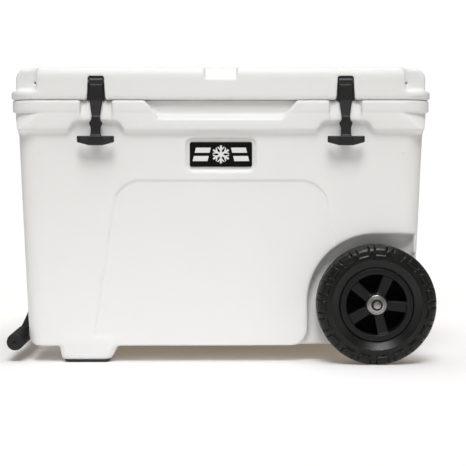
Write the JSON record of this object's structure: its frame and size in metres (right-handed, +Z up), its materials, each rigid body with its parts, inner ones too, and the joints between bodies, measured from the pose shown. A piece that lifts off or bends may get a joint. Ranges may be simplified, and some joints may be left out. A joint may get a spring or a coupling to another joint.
{
  "type": "cooler on wheels",
  "caption": "Hard-walled insulated cooler with a hinged lid, rubber T-latches, two wheels at one end, moulded feet and a swing-up tow handle at the other.",
  "frame": {"origin": "on the floor, under the middle of the whole cooler", "axes": "+X towards the wheel end, -Y towards the front with the latches, +Z up"},
  "size_m": [0.718, 0.473, 0.495],
  "materials": {
    "white_shell": "satin, fine moulded grain",
    "foam": "closed-cell foam",
    "black_plastic": "fine moulded grain",
    "wheel_plastic": "satin, fine moulded grain",
    "badge": "satin black plate",
    "black_rubber": "matt",
    "grip_rubber": "matt, soft",
    "tyre": "matt",
    "steel": "satin",
    "aluminium_tube": "black anodised"
  },
  "bodies": {
    "tub": {"tub_shell": "white_shell", "tub_foam": "foam", "tub_fill_plug": "black_plastic", "badge_plate": "badge", "foot_pad_front": "black_rubber", "foot_pad_back": "black_rubber", "foot_screw_1": "steel", "foot_screw_2": "steel", "foot_screw_3": "steel", "foot_screw_4": "steel", "axle": "steel", "axle_spacer_front": "black_plastic", "axle_spacer_back": "black_plastic", "axle_washer_front": "steel", "axle_washer_back": "steel", "axle_clip_front": "black_plastic", "axle_clip_back": "black_plastic", "hinge_pin_left": "steel", "hinge_pin_right": "steel", "handle_pivot_rod": "steel", "drain_insert": "black_plastic"},
    "wheel_front": {"tyre_front": "tyre", "wheel_hub_front": "wheel_plastic", "bearing_inner_front": "steel", "bearing_outer_front": "steel"},
    "wheel_back": {"tyre_back": "tyre", "wheel_hub_back": "wheel_plastic", "bearing_inner_back": "steel", "bearing_outer_back": "steel"},
    "lid": {"lid_shell": "white_shell", "lid_foam": "foam", "lid_fill_plug": "black_plastic", "lid_gasket": "black_rubber", "latch_pin_left": "steel", "latch_pin_right": "steel"},
    "latch_left": {"latch_strap_left": "black_rubber"},
    "latch_right": {"latch_strap_right": "black_rubber"},
    "handle": {"handle_frame": "aluminium_tube", "handle_bush_front": "black_plastic", "handle_bush_back": "black_plastic", "grip_front": "grip_rubber", "grip_back": "grip_rubber", "grip_cap_front": "black_plastic", "grip_cap_back": "black_plastic"},
    "drain": {"drain_plug": "black_plastic", "drain_gasket": "black_rubber"}
  },
  "joints": [
    {"name": "lid_hinge", "type": "hinge", "parent": "tub", "child": "lid", "pos_m": [0, 0.223, 0.439], "axis": [-1, 0, 0], "range_deg": [0, 105]},
    {"name": "latch_left_swing", "type": "hinge", "parent": "lid", "child": "latch_left", "pos_m": [-0.207, -0.207, 0.471], "axis": [-1, 0, 0], "range_deg": [0, 90]},
    {"name": "latch_right_swing", "type": "hinge", "parent": "lid", "child": "latch_right", "pos_m": [0.207, -0.207, 0.471], "axis": [-1, 0, 0], "range_deg": [0, 90]},
    {"name": "wheel_front_spin", "type": "hinge", "parent": "tub", "child": "wheel_front", "pos_m": [0.259, -0.2105, 0.1], "axis": [0, 1, 0], "continuous": true},
    {"name": "wheel_back_spin", "type": "hinge", "parent": "tub", "child": "wheel_back", "pos_m": [0.259, 0.2105, 0.1], "axis": [0, 1, 0], "continuous": true},
    {"name": "handle_swing", "type": "hinge", "parent": "tub", "child": "handle", "pos_m": [-0.318, 0, 0.372], "axis": [0, 1, 0], "range_deg": [0, 115]},
    {"name": "drain_plug_out", "type": "slide", "parent": "tub", "child": "drain", "axis": [1, 0, 0], "range_m": [0, 0.03]}
  ]
}
